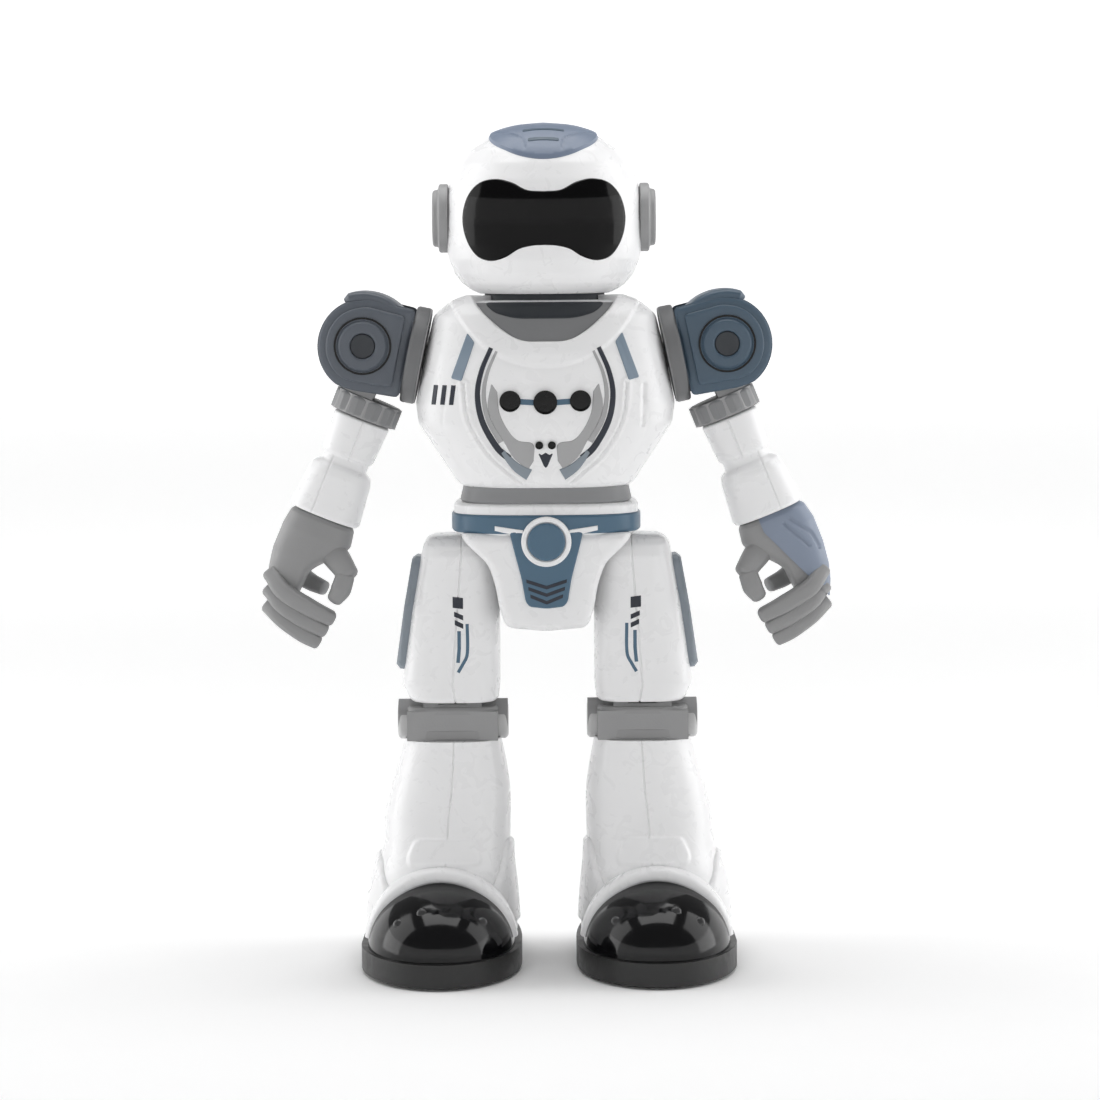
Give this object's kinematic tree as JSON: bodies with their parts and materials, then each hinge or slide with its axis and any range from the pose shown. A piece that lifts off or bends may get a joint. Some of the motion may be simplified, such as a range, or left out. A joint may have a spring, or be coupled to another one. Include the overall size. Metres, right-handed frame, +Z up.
{
  "type": "toy robot on wheeled feet",
  "caption": "Standing toy robot with a visored head, jointed arms, hinged legs and powered wheels hidden under its feet.",
  "frame": {"origin": "on the floor, in the middle of the footprint", "axes": "+Z up, the face looks towards -Y, +X is the robot's left"},
  "size_m": [0.1764, 0.09, 0.26],
  "materials": {
    "white_shell": "gloss",
    "grey_shell": "satin",
    "blue_shell": "satin",
    "glove_blue": "satin",
    "visor_black": "gloss",
    "smoked_black": "gloss",
    "sole_black": "matte",
    "lens_black": "gloss",
    "dark_grey": "matte",
    "board_green": "satin",
    "battery_wrap": "satin",
    "speaker_metal": "satin",
    "steel": "satin",
    "brass": "satin",
    "gear_white": "satin",
    "tyre_rubber": "matte"
  },
  "bodies": {
    "root": {"torso_front_shell": "white_shell", "torso_rear_shell": "white_shell", "collar_insert": "grey_shell", "sensor_lenses": "lens_black", "speaker": "speaker_metal", "waist_insert": "grey_shell", "pelvis_shell": "white_shell", "belt_trim": "blue_shell", "main_board": "board_green", "battery_pack": "battery_wrap", "battery_door": "white_shell", "charge_socket": "steel", "body_screws": "steel", "hip_bracket": "grey_shell", "neck_post": "dark_grey"},
    "power_switch": {"power_switch": "lens_black"},
    "head": {"head_front_shell": "white_shell", "head_rear_shell": "white_shell", "visor": "visor_black", "crown_cap": "blue_shell", "ear_discs": "grey_shell", "eye_light_board": "board_green"},
    "arm_swing_left": {"shoulder_disc_left": "grey_shell", "shoulder_bracket_left": "blue_shell"},
    "arm_ball_left": {"shoulder_ball_left": "blue_shell", "arm_collar_left": "grey_shell"},
    "arm_left": {"arm_shell_left": "white_shell"},
    "hand_left": {"hand_left": "grey_shell", "glove_cover_left": "glove_blue"},
    "thigh_left": {"thigh_shell_left": "white_shell", "thigh_trim_left": "blue_shell"},
    "foot_left": {"knee_band_left": "grey_shell", "shin_shell_left": "white_shell", "toe_cap_left": "smoked_black", "sole_left": "sole_black", "drive_motor_left": "steel"},
    "wheel_left": {"drive_wheel_left": "gear_white", "tyre_left": "tyre_rubber"},
    "pinion_left": {"motor_pinion_left": "brass"},
    "front_roller_left": {"front_roller_left": "gear_white"},
    "rear_roller_left": {"rear_roller_left": "gear_white"},
    "arm_swing_right": {"shoulder_disc_right": "grey_shell", "shoulder_bracket_right": "blue_shell"},
    "arm_ball_right": {"shoulder_ball_right": "blue_shell", "arm_collar_right": "grey_shell"},
    "arm_right": {"arm_shell_right": "white_shell"},
    "hand_right": {"hand_right": "grey_shell"},
    "thigh_right": {"thigh_shell_right": "white_shell", "thigh_trim_right": "blue_shell"},
    "foot_right": {"knee_band_right": "grey_shell", "shin_shell_right": "white_shell", "toe_cap_right": "smoked_black", "sole_right": "sole_black", "drive_motor_right": "steel"},
    "wheel_right": {"drive_wheel_right": "gear_white", "tyre_right": "tyre_rubber"},
    "pinion_right": {"motor_pinion_right": "brass"},
    "front_roller_right": {"front_roller_right": "gear_white"},
    "rear_roller_right": {"rear_roller_right": "gear_white"}
  },
  "joints": [
    {"name": "power_slide", "type": "slide", "parent": "root", "child": "power_switch", "axis": [0, 0, 1], "range_m": [0, 0.004]},
    {"name": "head_turn", "type": "hinge", "parent": "root", "child": "head", "pos_m": [0, 0.004, 0.215], "axis": [0, 0, 1], "range_deg": [-60, 60]},
    {"name": "shoulder_swing_left", "type": "hinge", "parent": "root", "child": "arm_swing_left", "pos_m": [0.037, 0.004, 0.1882], "axis": [-0.9792, 0, -0.2028], "range_deg": [-60, 180]},
    {"name": "shoulder_lift_left", "type": "hinge", "parent": "arm_swing_left", "child": "arm_ball_left", "pos_m": [0.05551, 0.004, 0.19203], "axis": [0, -1, 0], "range_deg": [-5, 85]},
    {"name": "arm_twist_left", "type": "hinge", "parent": "arm_ball_left", "child": "arm_left", "pos_m": [0.0597, 0.004, 0.16137], "axis": [0.3746, 0, -0.9272], "range_deg": [-90, 90]},
    {"name": "wrist_twist_left", "type": "hinge", "parent": "arm_left", "child": "hand_left", "pos_m": [0.06869, 0.004, 0.13912], "axis": [0.3746, 0, -0.9272], "range_deg": [-90, 90]},
    {"name": "hip_swing_left", "type": "hinge", "parent": "root", "child": "thigh_left", "pos_m": [0.0145, 0.008, 0.12], "axis": [-1, 0, 0], "range_deg": [-8, 8]},
    {"name": "knee_bend_left", "type": "hinge", "parent": "thigh_left", "child": "foot_left", "pos_m": [0.0294, 0.008, 0.076], "axis": [-1, 0, 0], "range_deg": [-8, 8]},
    {"name": "wheel_spin_left", "type": "hinge", "parent": "foot_left", "child": "wheel_left", "pos_m": [0.0332, 0.01, 0.011], "axis": [1, 0, 0], "continuous": true},
    {"name": "pinion_spin_left", "type": "hinge", "parent": "foot_left", "child": "pinion_left", "pos_m": [0.0332, 0.01, 0.0212], "axis": [1, 0, 0], "continuous": true},
    {"name": "front_roller_spin_left", "type": "hinge", "parent": "foot_left", "child": "front_roller_left", "pos_m": [0.0332, -0.032, 0.0045], "axis": [1, 0, 0], "continuous": true},
    {"name": "rear_roller_spin_left", "type": "hinge", "parent": "foot_left", "child": "rear_roller_left", "pos_m": [0.0332, 0.034, 0.0045], "axis": [1, 0, 0], "continuous": true},
    {"name": "shoulder_swing_right", "type": "hinge", "parent": "root", "child": "arm_swing_right", "pos_m": [-0.037, 0.004, 0.1882], "axis": [-0.9792, 0, 0.2028], "range_deg": [-60, 180]},
    {"name": "shoulder_lift_right", "type": "hinge", "parent": "arm_swing_right", "child": "arm_ball_right", "pos_m": [-0.05551, 0.004, 0.19203], "axis": [0, 1, 0], "range_deg": [-5, 85]},
    {"name": "arm_twist_right", "type": "hinge", "parent": "arm_ball_right", "child": "arm_right", "pos_m": [-0.0597, 0.004, 0.16137], "axis": [-0.3746, 0, -0.9272], "range_deg": [-90, 90]},
    {"name": "wrist_twist_right", "type": "hinge", "parent": "arm_right", "child": "hand_right", "pos_m": [-0.06869, 0.004, 0.13912], "axis": [-0.3746, 0, -0.9272], "range_deg": [-90, 90]},
    {"name": "hip_swing_right", "type": "hinge", "parent": "root", "child": "thigh_right", "pos_m": [-0.0145, 0.008, 0.12], "axis": [-1, 0, 0], "range_deg": [-8, 8]},
    {"name": "knee_bend_right", "type": "hinge", "parent": "thigh_right", "child": "foot_right", "pos_m": [-0.0294, 0.008, 0.076], "axis": [-1, 0, 0], "range_deg": [-8, 8]},
    {"name": "wheel_spin_right", "type": "hinge", "parent": "foot_right", "child": "wheel_right", "pos_m": [-0.0332, 0.01, 0.011], "axis": [1, 0, 0], "continuous": true},
    {"name": "pinion_spin_right", "type": "hinge", "parent": "foot_right", "child": "pinion_right", "pos_m": [-0.0332, 0.01, 0.0212], "axis": [1, 0, 0], "continuous": true},
    {"name": "front_roller_spin_right", "type": "hinge", "parent": "foot_right", "child": "front_roller_right", "pos_m": [-0.0332, -0.032, 0.0045], "axis": [1, 0, 0], "continuous": true},
    {"name": "rear_roller_spin_right", "type": "hinge", "parent": "foot_right", "child": "rear_roller_right", "pos_m": [-0.0332, 0.034, 0.0045], "axis": [1, 0, 0], "continuous": true}
  ],
  "couplings": [
    {"joint": "knee_bend_left", "follows": "hip_swing_left", "ratio": -1},
    {"joint": "pinion_spin_left", "follows": "wheel_spin_left", "ratio": -2.4},
    {"joint": "knee_bend_right", "follows": "hip_swing_right", "ratio": -1},
    {"joint": "pinion_spin_right", "follows": "wheel_spin_right", "ratio": -2.4}
  ]
}
